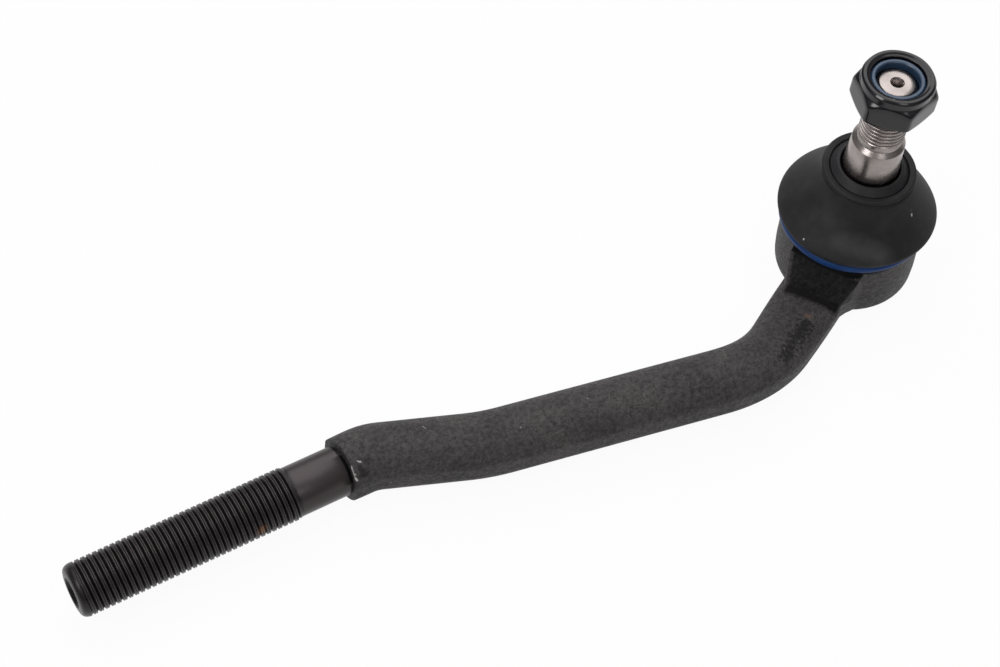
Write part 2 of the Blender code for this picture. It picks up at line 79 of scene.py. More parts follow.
@dataclass
class Shell:
    """A grid of points, wrapped or open along its rows and columns, with values per point."""

    points: np.ndarray
    wrap_rows: bool = False
    wrap_columns: bool = True
    values: dict[str, np.ndarray] = field(default_factory=dict)

    def faces(self) -> np.ndarray:
        """Quads between neighbouring points, by their index in the flattened grid."""
        rows, columns = self.points.shape[:2]
        row = np.arange(rows if self.wrap_rows else rows - 1)
        column = np.arange(columns if self.wrap_columns else columns - 1)
        here, along = np.meshgrid(row, column, indexing="ij")
        below, beside = (here + 1) % rows, (along + 1) % columns
        corners = [
            here * columns + along,
            here * columns + beside,
            below * columns + beside,
            below * columns + along,
        ]
        return np.stack(corners, axis=-1).reshape(-1, 4)


def clean_mesh(mesh: bpy.types.Mesh, sharp_degrees: float) -> None:
    """Welds seams and poles, turns the faces outwards and shades smooth up to an angle.

    Args:
        mesh: Mesh to clean.
        sharp_degrees: Edges that turn more than this stay sharp.
    """
    shape = bmesh.new()
    shape.from_mesh(mesh)
    bmesh.ops.remove_doubles(shape, verts=shape.verts, dist=2e-6)
    bmesh.ops.recalc_face_normals(shape, faces=shape.faces)
    shape.to_mesh(mesh)
    shape.free()
    mesh.shade_smooth()
    mesh.set_sharp_from_angle(angle=math.radians(sharp_degrees))


def build_piece(name: str, shells: list[Shell], sharp_degrees: float = 35.0) -> bpy.types.Object:
    """Makes one mesh object of several shells.

    Args:
        name: Name of the piece.
        shells: Grids that together close the piece.
        sharp_degrees: Edges that turn more than this stay sharp.

    Returns:
        The new object, at the origin.
    """
    counts = [shell.points.shape[0] * shell.points.shape[1] for shell in shells]
    starts = np.concatenate([[0], np.cumsum(counts)[:-1]])
    points = np.concatenate([shell.points.reshape(-1, 3) for shell in shells])
    faces = np.concatenate([shell.faces() + start for shell, start in zip(shells, starts)])
    mesh = bpy.data.meshes.new(name)
    mesh.from_pydata(points, [], faces)
    for key in sorted({key for shell in shells for key in shell.values}):
        blanks = [np.zeros(count) for count in counts]
        given = [shell.values.get(key, blank) for shell, blank in zip(shells, blanks)]
        layer = mesh.attributes.new(key, "FLOAT", "POINT")
        layer.data.foreach_set("value", np.concatenate([g.ravel() for g in given]).astype(np.float32))
    clean_mesh(mesh, sharp_degrees)
    piece = bpy.data.objects.new(name, mesh)
    bpy.context.scene.collection.objects.link(piece)
    return piece


def ease(share: np.ndarray | float) -> np.ndarray:
    """Eases a share from 0 to 1 with level ends."""
    share = np.clip(share, 0.0, 1.0)
    return share * share * (3.0 - 2.0 * share)


def soft_min(first: np.ndarray, second: np.ndarray, blend: float) -> np.ndarray:
    """The lesser of two arrays, rounded over a blend width where they cross."""
    return 0.5 * (first + second - np.sqrt((first - second) ** 2 + blend**2))


def fillet(before: tuple, corner: tuple, after: tuple, radius: float, count: int) -> np.ndarray:
    """Rounds one corner of a path in a plane with an arc that touches both legs.

    Args:
        before: Point before the corner.
        corner: The corner itself.
        after: Point after the corner.
        radius: Radius of the arc.
        count: Number of points on it.

    Returns:
        Points on the arc.
    """
    before, corner, after = (np.array(p[:2], float) for p in (before, corner, after))
    into = (corner - before) / np.linalg.norm(corner - before)
    out = (after - corner) / np.linalg.norm(after - corner)
    angle = math.atan2(into[0] * out[1] - into[1] * out[0], float(into @ out))
    side = np.array([-into[1], into[0]]) * math.copysign(1.0, angle)
    centre = corner - into * radius * math.tan(abs(angle) / 2.0) + side * radius
    turn = np.linspace(0.0, angle, count)
    cosine, sine = np.cos(turn)[:, None], np.sin(turn)[:, None]
    spin_side = np.concatenate([side[0] * cosine - side[1] * sine, side[0] * sine + side[1] * cosine], axis=1)
    return centre - spin_side * radius


def rounded_profile(corners: list[tuple], count: int = 6, closed: bool = False) -> np.ndarray:
    """Carries a path through corners of (radius, height, rounding), each rounded by its own arc.

    Args:
        corners: Corner points with their rounding; a rounding of 0 keeps the corner.
        count: Points on each arc.
        closed: True if the last corner leads back to the first.

    Returns:
        Points of the path as (radius, height) rows.
    """
    parts = []
    last = len(corners) - 1
    for index, corner in enumerate(corners):
        at_end = not closed and index in (0, last)
        if at_end or corner[2] <= 0.0:
            parts.append(np.array([corner[:2]], float))
            continue
        after = corners[(index + 1) % len(corners)]
        parts.append(fillet(corners[index - 1], corner, after, corner[2], count))
    return np.concatenate(parts)


def bezier(points: list[tuple], count: int) -> np.ndarray:
    """Cubic curve from the first of four control points to the last.

    Args:
        points: Control points as (radius, height).
        count: Points on the curve.

    Returns:
        Points of the curve as rows.
    """
    share = np.linspace(0.0, 1.0, count)[:, None]
    rest = 1.0 - share
    weights = np.concatenate([rest**3, 3.0 * rest**2 * share, 3.0 * rest * share**2, share**3], axis=1)
    return weights @ np.array(points)


def turned(profile: np.ndarray, steps: int) -> np.ndarray:
    """Turns a profile of (radius, height) rows round the Z axis into a grid of points."""
    turn = np.linspace(0.0, FULL_TURN, steps, endpoint=False)
    radius, height = profile[:, :1], profile[:, 1:2]
    return np.stack([radius * np.cos(turn), radius * np.sin(turn), height + 0.0 * turn], axis=-1)


def lean_matrix(share: np.ndarray | float) -> np.ndarray:
    """Rotation by a share of the stud's lean, by the turning formula about the lean axis."""
    axis = np.array([-math.sin(LEAN_AZIMUTH), math.cos(LEAN_AZIMUTH), 0.0])
    cross = np.array([[0.0, -axis[2], axis[1]], [axis[2], 0.0, -axis[0]], [-axis[1], axis[0], 0.0]])
    angle = np.asarray(share, float)[..., None, None] * STUD_LEAN
    return np.eye(3) + np.sin(angle) * cross + (1.0 - np.cos(angle)) * (cross @ cross)


def on_stud(points: np.ndarray) -> np.ndarray:
    """Moves points from the stud's own frame, with the ball at its origin, to the leaning stud."""
    return points @ lean_matrix(1.0).T + BALL_CENTRE


@dataclass(frozen=True)
class Thread:
    """A rolled screw thread along one axis.

    The radius swings between root and crest with the phase, which is the distance along the
    axis in pitches less the turn round it, so that the ridge climbs one pitch per turn.
    """

    crest: float
    root: float
    pitch: float
    steps: int = 80
    samples: int = 12
    crest_share: float = 0.30
    root_share: float = 0.06
    seam: float = 0.0

    def grid(self, start: float, end: float) -> tuple[np.ndarray, np.ndarray]:
        """Distances along the axis and turns round it, sheared so that rows follow the ridge.

        Args:
            start: Lower end along the axis.
            end: Upper end along the axis.

        Returns:
            Grids of distance and of turn; columns run from 0 to a full turn.
        """
        count = int(math.ceil((end - start) / self.pitch) + 1) * self.samples
        base = start - self.pitch + np.arange(count + 1)[:, None] * self.pitch / self.samples
        turn = np.linspace(0.0, FULL_TURN, self.steps + 1)[None, :]
        return np.clip(base + self.pitch * turn / FULL_TURN, start, end), turn + 0.0 * base

    def height(self, distance: np.ndarray, turn: np.ndarray) -> np.ndarray:
        """Height over the root, from 0 to 1, at each distance and turn, less the crest's rolling seam."""
        phase = (distance / self.pitch - turn / FULL_TURN) % 1.0
        ridge = 1.0 - 2.0 * np.abs(phase - 0.5)
        flank = np.clip((ridge - self.root_share) / (1.0 - self.root_share - self.crest_share), 0.0, 1.0)
        crest = self.seam * np.exp(-(((phase - 0.5) / 0.08) ** 2))
        return 0.5 * flank + 0.5 * (1.0 - (1.0 - flank) ** 2) - crest


# Materials


def linear(code: str) -> tuple[float, float, float, float]:
    """Linear colour of an sRGB hex code."""
    shares = np.array([int(code[k : k + 2], 16) for k in (1, 3, 5)]) / 255.0
    lit = np.where(shares <= 0.04045, shares / 12.92, ((shares + 0.055) / 1.055) ** 2.4)
    return (*lit.tolist(), 1.0)


def per_mm(size: float) -> float:
    """Pattern scale for features of a size in millimetres, on coordinates in metres."""
    return 1000.0 / size


def feed_node(tree: bpy.types.NodeTree, node: bpy.types.Node, feeds: dict) -> None:
    """Feeds a node's inputs.

    Args:
        tree: Node tree of a material or the world.
        node: Node to feed.
        feeds: A node or an output to link, or a value to set, by the input's name or number.
            A node gives its first output that is in use.
    """
    for key, feed in feeds.items():
        if isinstance(feed, bpy.types.Node):
            feed = next(output for output in feed.outputs if output.enabled)
        if isinstance(feed, bpy.types.NodeSocket):
            tree.links.new(feed, node.inputs[key])
        else:
            node.inputs[key].default_value = feed


def add_node(
    tree: bpy.types.NodeTree, kind: str, feeds: dict | None = None, **settings: str
) -> bpy.types.Node:
    """Adds a node, sets its properties and feeds its inputs.

    Args:
        tree: Node tree of a material or the world.
        kind: Blender's name of the node type, without the leading ShaderNode.
        feeds: What feeds its inputs, as feed_node takes it.
        settings: Property values by name.

    Returns:
        The new node.
    """
    made = tree.nodes.new("ShaderNode" + kind)
    for key, value in settings.items():
        setattr(made, key, value)
    feed_node(tree, made, feeds or {})
    return made


# Numbers of the colour inputs of a Mix node
MIX_A, MIX_B = 6, 7


@dataclass(frozen=True)
class Mark:
    """A chip, stain, scratch, painted shade or painted sheen along a short line, with an edge made ragged by
    a noise.
    """

    start: tuple
    end: tuple
    radius: float
    colour: str
    ragged: float = 0.0
    soft: float = 0.5

    def share(
        self, tree: bpy.types.NodeTree, where: bpy.types.NodeSocket, noise: bpy.types.Node
    ) -> bpy.types.Node:
        """Node whose value is 1 on the line and 0 beyond the radius.

        Args:
            tree: Node tree of the material.
            where: Object coordinates.
            noise: Noise of about 0 to 1 that makes the edge ragged.

        Returns:
            The node that ends the chain.
        """
        line = Vector(self.end) - Vector(self.start)
        way = line.normalized()
        offset = add_node(tree, "VectorMath", {0: where, 1: Vector(self.start)}, operation="SUBTRACT")
        gone = add_node(tree, "VectorMath", {0: offset, 1: way}, operation="DOT_PRODUCT")
        held = add_node(tree, "Clamp", {"Value": gone, "Max": line.length})
        nearest = add_node(tree, "VectorMath", {0: way, "Scale": held}, operation="SCALE")
        apart = add_node(tree, "VectorMath", {0: offset, 1: nearest}, operation="DISTANCE")
        wander = add_node(tree, "Math", {0: noise, 1: self.ragged, 2: apart}, operation="MULTIPLY_ADD")
        edge = self.radius + self.ragged * 0.5
        inside = edge - self.radius * self.soft
        return add_node(tree, "MapRange", {"Value": wander, "From Min": edge, "From Max": inside})


class Finish:
    """A finish builds one Principled material; each kind adds its own pattern."""

    def start(self, name: str, **sockets: float | tuple) -> tuple:
        """A new material with plain values on its shader.

        Args:
            name: Name of the material.
            sockets: Shader values, with underscores for spaces in the socket's name.

        Returns:
            The material, its node tree, its Principled shader and its Object coordinates.
        """
        made = bpy.data.materials.new(name)
        made.use_nodes = True
        tree = made.node_tree
        shader = tree.nodes["Principled BSDF"]
        feed_node(tree, shader, {key.replace("_", " "): value for key, value in sockets.items()})
        return made, tree, shader, add_node(tree, "TexCoord").outputs["Object"]

    def lay_tones(self, tree: bpy.types.NodeTree, base: str, layers: list[tuple]) -> bpy.types.Node:
        """Lays colours over a base colour.

        Args:
            tree: Node tree of the material.
            base: Colour below all layers.
            layers: Node with the share of each layer, and its colour, the last on top.

        Returns:
            Mix node with all layers laid over.
        """
        tone = linear(base)
        for share, colour in layers:
            feeds = {"Factor": share, MIX_A: tone, MIX_B: linear(colour)}
            tone = add_node(tree, "Mix", feeds, data_type="RGBA")
        return tone


@dataclass(frozen=True)
class ForgedScale(Finish):
    """Drop-forged steel left black: dull oxide scale, pits from the die, sooting, painted shade and a chipped
    edge.
    """

    soot_and_painted_shade: str = "#151414"
    shade: str = "#232122"
    body: str = "#403c3d"
    bloom: str = "#5c5856"
    speck: str = "#8f8b86"
    mottle_mm: float = 1.1
    grit_mm: float = 0.45
    bloom_mm: float = 12.0
    speck_mm: float = 5.5
    gloss: tuple = (0.42, 0.10)
    marks: tuple = (
        # First mark: painted shade, a ragged black blotch along the neck's top beyond the gusset
        Mark((-0.0385, -0.0266, 0.0137), (-0.0262, -0.0192, 0.0105), 0.0022, "#0b0a0a", 0.0120, 0.5),
        Mark((-0.0248, -0.0170, 0.0105), (-0.0243, -0.0176, 0.0105), 0.0010, "#54443a", 0.0030, 0.6),
        Mark((-0.1490, -0.0060, 0.0162), (-0.1484, -0.0074, 0.0150), 0.0012, "#171314", 0.0036, 0.8),
        # Bare metal of a chip on the shoulder's edge, painted near white, in part a painted glint
        Mark((-0.1508, -0.0049, 0.0168), (-0.1508, -0.0074, 0.0142), 0.0005, "#d8d2cf", 0.0018, 0.5),
        Mark((-0.1490, -0.0043, 0.0173), (-0.1480, -0.0052, 0.0170), 0.0002, "#a5a0a0", 0.0012),
        Mark((-0.1306, -0.0036, 0.0180), (-0.1302, -0.0046, 0.0182), 0.0002, "#6e6a68", 0.0004),
    )

    def make(self) -> bpy.types.Material:
        """Builds the material: mottled tones, painted shade and sooting laid on the mesh, specks, marks and a
        fine bump.
        """
        made, tree, shader, where = self.start("forged_oxide_steel", Metallic=0.25)
        mottle, grit, broad = (
            add_node(tree, "TexNoise", {"Vector": where} | noise)
            for noise in (
                {"Scale": per_mm(self.mottle_mm), "Detail": 5.0, "Roughness": 0.72},
                {"Scale": per_mm(self.grit_mm), "Detail": 2.0, "Roughness": 0.6},
                {"Scale": per_mm(self.bloom_mm), "Detail": 3.0, "Roughness": 0.55},
            )
        )
        mottled = add_node(tree, "MapRange", {"Value": mottle, "From Min": 0.40, "From Max": 0.62})
        broadly = add_node(tree, "MapRange", {"Value": broad, "From Min": 0.42, "From Max": 0.78})
        gritty = add_node(tree, "MapRange", {"Value": grit, "From Min": 0.40, "From Max": 0.72})
        bloomed = add_node(tree, "Math", {0: broadly, 1: gritty}, operation="MULTIPLY")
        spots = {"Vector": where, "Scale": per_mm(self.speck_mm), "Randomness": 1.0}
        specks = add_node(tree, "TexVoronoi", spots)
        specked = add_node(tree, "MapRange", {"Value": specks, "From Min": 0.045, "From Max": 0.02})
        # Sooting and painted shade, laid on the mesh, lie thickest in the creases and under the clamp ring
        # and break up with the mottling at their edge
        laid = add_node(tree, "Attribute", attribute_name="soot_and_painted_shade").outputs["Fac"]
        soot_and_shade_edge = add_node(tree, "Math", {0: mottle, 1: -0.5, 2: laid}, operation="MULTIPLY_ADD")
        soot_and_shade_share = add_node(tree, "MapRange", {"Value": soot_and_shade_edge, "From Min": -0.2, "From Max": 0.55})
        layers = [(mottled, self.body), (bloomed, self.bloom), (specked, self.speck), (soot_and_shade_share, self.soot_and_painted_shade)]
        layers += [(mark.share(tree, where, mottle), mark.colour) for mark in self.marks]
        tone = self.lay_tones(tree, self.shade, layers)
        # Gloss falls where the sooting and painted shade lie, so the painted shade reads darker
        gloss = add_node(tree, "MapRange", {"Value": soot_and_shade_share, "To Min": self.gloss[0], "To Max": self.gloss[1]})
        reach = {"Value": mottle, "From Min": 0.3, "From Max": 0.7}
        rough = add_node(tree, "MapRange", reach | {"To Min": 0.66, "To Max": 0.5})
        relief = add_node(tree, "Math", {0: grit, 1: 0.8, 2: mottle}, operation="MULTIPLY_ADD")
        bump = add_node(tree, "Bump", {"Height": relief, "Strength": 1.0, "Distance": 0.0004})
        feed_node(tree, shader, {"Base Color": tone, "Specular IOR Level": gloss})
        feed_node(tree, shader, {"Roughness": rough, "Normal": bump})
        return made


@dataclass(frozen=True)
class RolledThread(Finish):
    """Black-oxide rolled thread: dark roots as painted shade in the grooves, crests lighter where worn and a
    greyer plain neck.
    """

    root: str = "#0f0d0e"
    crest: str = "#373132"
    blank: str = "#373132"
    wear_mm: float = 2.2
    marks: tuple = (
        Mark((-0.1763, -0.0075, 0.0106), (-0.1757, -0.0073, 0.0113), 0.0014, "#6b4a33", 0.0012, 0.7),
    )

    def make(self) -> bpy.types.Material:
        """Builds the material: tone by the ridge height stored on the mesh, broken by wear."""
        plain_values = {"Metallic": 0.4, "Roughness": 0.36, "Specular_IOR_Level": 0.4}
        made, tree, shader, where = self.start("rolled_thread_steel", **plain_values)
        ridge = add_node(tree, "Attribute", attribute_name="ridge").outputs["Fac"]
        wear = add_node(tree, "TexNoise", {"Vector": where, "Scale": per_mm(self.wear_mm), "Detail": 4.0})
        worn = add_node(
            tree, "MapRange", {"Value": wear, "From Min": 0.3, "From Max": 0.7, "To Min": 0.55, "To Max": 1.0}
        )
        # Tone rises from the dark roots to the crests: painted shade in the grooves, with the wear noise
        # breaking up the lighter crests
        high = add_node(tree, "MapRange", {"Value": ridge, "From Min": 0.35, "From Max": 1.0})
        crest_wear_and_groove_shade = add_node(tree, "Math", {0: high, 1: worn}, operation="MULTIPLY")
        plain = add_node(tree, "MapRange", {"Value": ridge, "From Min": 1.0, "From Max": 2.0})
        layers = [(crest_wear_and_groove_shade, self.crest), (plain, self.blank)]
        layers += [(mark.share(tree, where, wear), mark.colour) for mark in self.marks]
        feed_node(tree, shader, {"Base Color": self.lay_tones(tree, self.root, layers)})
        return made


@dataclass(frozen=True)
class TurnedSteel(Finish):
    """Turned and ground alloy steel: bright, with fine rings left by the tool."""

    colour: str = "#a8a09d"
    dull: str = "#7d7572"
    ring_mm: float = 0.30
    haze_mm: float = 4.0
    roughness: tuple = (0.32, 0.20)

    def make(self) -> bpy.types.Material:
        """Builds the material: rings by the height along the stud stored on the mesh, and haze."""
        made, tree, shader, where = self.start("turned_steel", Metallic=1.0)
        along = add_node(tree, "Attribute", attribute_name="along_mm").outputs["Fac"]
        rings = {"W": along, "Scale": 1.0 / self.ring_mm, "Detail": 3.0, "Roughness": 0.6}
        ring = add_node(tree, "TexNoise", rings, noise_dimensions="1D")
        haze = add_node(tree, "TexNoise", {"Vector": where, "Scale": per_mm(self.haze_mm), "Detail": 5.0})
        tone = self.lay_tones(tree, self.dull, [(haze, self.colour)])
        reach = {"Value": haze, "From Min": 0.3, "From Max": 0.7}
        rough = add_node(tree, "MapRange", reach | {"To Min": self.roughness[0], "To Max": self.roughness[1]})
        bump = add_node(tree, "Bump", {"Height": ring, "Strength": 0.18, "Distance": 0.00005})
        feed_node(tree, shader, {"Base Color": tone, "Roughness": rough, "Normal": bump})
        return made


@dataclass(frozen=True)
class MouldedRubber(Finish):
    """Moulded chloroprene: matt black with a greyish dusting and any marks given: scuff marks, and a painted
    sheen on the boot's low front.
    """

    name: str = "boot_rubber"
    colour: str = "#191819"
    dust: str = "#2b2a2b"
    roughness: float = 0.62
    dust_mm: float = 10.0
    grain_mm: float = 0.5
    marks: tuple = ()

    def make(self) -> bpy.types.Material:
        """Builds the material: dusting by broad noise, marks and a fine moulded grain."""
        plain_values = {"Roughness": self.roughness, "IOR": 1.52, "Specular_IOR_Level": 0.2}
        made, tree, shader, where = self.start(self.name, **plain_values)
        broad = {"Vector": where, "Scale": per_mm(self.dust_mm), "Detail": 5.0, "Roughness": 0.6}
        dusting = add_node(tree, "TexNoise", broad)
        dusty = add_node(tree, "MapRange", {"Value": dusting, "From Min": 0.42, "From Max": 0.75})
        layers = [(dusty, self.dust)]
        layers += [(mark.share(tree, where, dusting), mark.colour) for mark in self.marks]
        tone = self.lay_tones(tree, self.colour, layers)
        grain = add_node(tree, "TexNoise", {"Vector": where, "Scale": per_mm(self.grain_mm), "Detail": 2.0})
        bump = add_node(tree, "Bump", {"Height": grain, "Strength": 0.12, "Distance": 0.00008})
        feed_node(tree, shader, {"Base Color": tone, "Normal": bump})
        return made


@dataclass(frozen=True)
class CloudedSurface(Finish):
    """A smooth coloured or plated surface with slight clouding of tone and gloss."""

    name: str
    colour: str
    cloud: str
    metallic: float = 0.0
    roughness: float = 0.3
    spread: float = 0.08
    cloud_mm: float = 4.0
    gloss: float = 0.5

    def make(self) -> bpy.types.Material:
        """Builds the material: one noise clouds both the tone and the roughness."""
        plain_values = {"Metallic": self.metallic, "Specular_IOR_Level": self.gloss}
        made, tree, shader, where = self.start(self.name, **plain_values)
        clouds = add_node(tree, "TexNoise", {"Vector": where, "Scale": per_mm(self.cloud_mm), "Detail": 5.0})
        reach = {"Value": clouds, "From Min": 0.35, "From Max": 0.7}
        tone = self.lay_tones(tree, self.colour, [(add_node(tree, "MapRange", reach), self.cloud)])
        rough = add_node(
            tree, "MapRange", reach | {"To Min": self.roughness, "To Max": self.roughness + self.spread}
        )
        feed_node(tree, shader, {"Base Color": tone, "Roughness": rough})
        return made


def dress(piece: bpy.types.Object, finish: bpy.types.Material, slot: str, *nodes: str) -> None:
    """Gives a piece its finish and hides the solids that it stands for.

    Args:
        piece: Finished mesh object.
        finish: Its material.
        slot: The record's material slot; not used.
        nodes: CAD nodes that it replaces.
    """
    piece.data.materials.clear()
    piece.data.materials.append(finish)
    if nodes:
        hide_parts(*nodes)
    LOG.info("%s: %d points", piece.name, len(piece.data.vertices))


# Sub-assemblies


@dataclass
class Forging:
    """The bent forging: arm with flash lands from its shoulder on, gusset and ball cup."""

    shoulder_x: float = -0.1519
    shank_y: float = -0.0006
    arm_z: float = 0.0100
    overrun: float = 0.0040
    arm_radius: float = 0.00835
    land_half_width: float = 0.0080
    first_bend: tuple = (-0.1442, -0.0006, 0.014)
    second_bend: tuple = (-0.1171, -0.01135, 0.055)
    elbow: tuple = (-0.0446, -0.0255, 0.033)
    neck_aim: tuple = (0.0004, -0.0008)
    neck_top: float = 0.0100
    neck_bottom: float = 0.0008
    neck_land_half_width: float = 0.0082
    neck_flare: float = 0.0006
    neck_squareness: float = 0.75
    toe_slant: float = 0.0016
    arm_root: float = 0.0150
    drop_ends: float = 0.0242
    shoulder_round: float = 0.0040
    shoulder_fall: float = 0.0001
    around: int = 72
    voxel: float = 0.00042

    def path(self) -> tuple[np.ndarray, np.ndarray, np.ndarray]:
        """Route of the arm in plan, from just before the shoulder to the cup.

        Returns:
            Points, unit directions, and the share of the drop from the arm to the neck.
        """
        shoulder = (self.shoulder_x - self.overrun, self.shank_y)
        legs = [shoulder, self.first_bend, self.second_bend, self.elbow, self.neck_aim]
        arcs = [fillet(legs[k - 1], legs[k], legs[k + 1], legs[k][2], 24) for k in (1, 2, 3)]
        aim = np.array(self.neck_aim)
        straight = aim - np.array(self.elbow[:2])
        straight /= np.linalg.norm(straight)
        root = aim - straight * self.arm_root
        runs = [
            self.run(np.array(shoulder), arcs[0][0], 12),
            arcs[0],
            self.run(arcs[0][-1], arcs[1][0], 24),
            arcs[1],
            self.run(arcs[1][-1], arcs[2][0], 40),
            arcs[2],
            self.run(arcs[2][-1], root, 28),
            root[None, :],
        ]
        points = np.concatenate(runs)
        steps = np.linalg.norm(np.diff(points, axis=0), axis=1)
        gone = np.concatenate([[0.0], np.cumsum(steps)])
        direction = np.gradient(points, axis=0)
        direction /= np.linalg.norm(direction, axis=1, keepdims=True)
        drop_start = gone[sum(len(r) for r in runs[:5])]
        drop_end = gone[-1] - (self.drop_ends - self.arm_root)
        return points, direction, ease((gone - drop_start) / (drop_end - drop_start))

    @staticmethod
    def run(start: np.ndarray, end: np.ndarray, count: int) -> np.ndarray:
        """Points on a straight run, both ends left out except the start."""
        share = np.linspace(0.0, 1.0, count, endpoint=False)[:, None]
        return start + (end - start) * share

    def arm_shell(self) -> Shell:
        """Arm as one loft: round sections whose sides are cut flat at the lands."""
        points, direction, share = self.path()
        strides = np.linalg.norm(np.diff(points, axis=0), axis=1)
        gone = np.concatenate([[0.0], np.cumsum(strides)]) - self.overrun
        fall = self.shoulder_fall * (1.0 - np.clip(gone / self.shoulder_round, 0.0, 1.0)) ** 2
        top = self.arm_z + self.arm_radius - fall
        top = top + (self.neck_top - top) * share
        bottom = self.arm_z - self.arm_radius + fall
        bottom = bottom + (self.neck_bottom - bottom) * share
        width = self.land_half_width - fall
        width = width + (self.neck_land_half_width - width) * share
        square = 1.0 + (self.neck_squareness - 1.0) * share
        start = math.acos(self.land_half_width / self.arm_radius)
        upper = np.linspace(start, math.pi - start, self.around // 2)
        angle = np.concatenate([upper, upper + math.pi])[None, :]
        bent = square[:, None]
        across = np.sign(np.cos(angle)) * np.abs(np.cos(angle)) ** bent
        # The neck flares on its far side only, so it grows wider and moves over by the same amount
        flare = (self.neck_flare * share**2)[:, None]
        across = across * (width / math.cos(start) ** square)[:, None]
        across = across + flare * (1.0 + np.sign(across))
        middle, half = ((top + bottom) / 2.0)[:, None], ((top - bottom) / 2.0)[:, None]
        height = middle + half * np.sign(np.sin(angle)) * np.abs(np.sin(angle)) ** bent
        x = points[:, :1] - direction[:, 1:] * across
        y = points[:, 1:] + direction[:, :1] * across
        arm = np.stack([x, y, height], axis=-1)
        poles = np.broadcast_to(arm.mean(axis=1, keepdims=True), arm.shape)
        return Shell(np.concatenate([poles[:1], arm, poles[-1:]]))

    def cup_shell(self) -> Shell:
        """Ball cup: a turned wall with a rolled lip below, a mouth above and a spigot for the boot."""
        corners = [
            (0.0128, 0.0, 0.0002),
            (0.0170, 0.0, 0.0012),
            (0.01855, 0.0014, 0.0016),
            (0.01875, 0.0060, 0.0020),
            (0.01855, 0.0188, 0.0012),
            (0.0160, 0.0188, 0.0002),
            (0.0160, 0.0211, 0.0001),
            (0.0166, 0.0214, 0.0002),
            (0.0166, 0.0222, 0.0003),
            (0.0116, 0.0222, 0.0003),
            (0.0096, 0.0200, 0.0003),
            (0.0096, 0.0196, 0.0001),
            (0.0146, 0.0160, 0.0004),
            (0.0146, 0.0006, 0.0001),
            (0.0128, 0.0006, 0.0002),
        ]
        return Shell(turned(rounded_profile(corners, closed=True), 160), wrap_rows=True)

    def neck_axes(self) -> tuple[np.ndarray, np.ndarray, np.ndarray]:
        """Plan point that the neck aims at, and unit directions out along the neck and across it."""
        aim = np.array(self.neck_aim)
        reach = np.array(self.elbow[:2]) - aim
        reach /= np.linalg.norm(reach)
        return aim, reach, np.array([-reach[1], reach[0]])

    def soot_and_painted_shade(self, points: np.ndarray) -> np.ndarray:
        """Share of the dark layer at each point: darker on the gusset's face, and painted shade in the crease
        at its foot and under the clamp ring.
        """
        aim, reach, side = self.neck_axes()
        plan = points[:, :2] - aim
        out, shift, height = plan @ reach, plan @ side - 0.0010, points[:, 2]
        across = np.abs(shift)
        toe = 0.0244 - 0.5 * self.toe_slant * (1.0 + shift / 0.0075)
        half_width = 0.0104 - 0.45 * np.clip(out - 0.0186, 0.0, 0.0056)
        face = ease((out - 0.0176) / 0.0008) * ease((toe + 0.0004 - out) / 0.0008)
        face = face * ease((height - 0.0088) / 0.0008)
        face = face * ease((half_width - across) / 0.0012)
        # Painted shade: a dark line in the crease at the gusset's foot
        foot = np.exp(-(((out - toe) / 0.0014) ** 2)) * ease((0.0085 - across) / 0.0010)
        foot = foot * ease((height - 0.0070) / 0.0020)
        # Painted shade on the top of the cup's wall, under the clamp ring's overhang
        rim = ease((height - 0.0170) / 0.0005) * (np.hypot(points[:, 0], points[:, 1]) < 0.0200)
        return np.maximum(np.maximum(0.7 * face, foot), rim)

    def gusset_shell(self) -> Shell:
        """Wedge from the neck up to the cup's rim: one outline carried across its width."""
        aim, reach, side = self.neck_axes()
        # Distance from the cup's axis, half width and height of each corner
        outline = np.array(
            [
                [0.0186, 0.0100, 0.0174],
                [0.0242, 0.0075, 0.0094],
                [0.0260, 0.0065, 0.0040],
                [0.0156, 0.0100, 0.0025],
                [0.0156, 0.0100, 0.0174],
            ]
        )
        hand = np.array([-1.0, 1.0])[:, None, None]
        shift = 0.0010 - outline[None, :, 1:2] * hand
        # The toe stands back on the near side
        out = outline[None, :, :1] - self.toe_slant * (outline[None, :, :1] > 0.0200) * (hand < 0.0)
        plan = reach * out + side * shift
        rings = np.concatenate([plan, np.broadcast_to(outline[None, :, 2:], (2, 5, 1))], axis=-1)
        middle = np.broadcast_to(rings.mean(axis=1, keepdims=True), rings.shape)
        return Shell(np.concatenate([middle[:1], rings, middle[1:]]))

    def build(self, finish: bpy.types.Material) -> None:
        """Welds arm, gusset and cup into one skin with soft forged corners."""
        piece = build_piece("forging", [self.arm_shell(), self.gusset_shell(), self.cup_shell()])
        weld = piece.modifiers.new("weld", "REMESH")
        weld.mode = "VOXEL"
        weld.voxel_size = self.voxel
        soften = piece.modifiers.new("soften", "SMOOTH")
        soften.factor = 0.5
        soften.iterations = 4
        graph = bpy.context.evaluated_depsgraph_get()
        skin = bpy.data.meshes.new_from_object(piece.evaluated_get(graph))
        piece.modifiers.clear()
        piece.data = skin
        self.cut_shoulder(skin)
        points = np.empty(len(skin.vertices) * 3, np.float32)
        skin.vertices.foreach_get("co", points)
        layer = skin.attributes.new("soot_and_painted_shade", "FLOAT", "POINT")
        layer.data.foreach_set("value", self.soot_and_painted_shade(points.reshape(-1, 3)).astype(np.float32))
        dress(piece, finish, "forged_black_steel", "forged_body")
        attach(piece, Body.HOUSING.value)

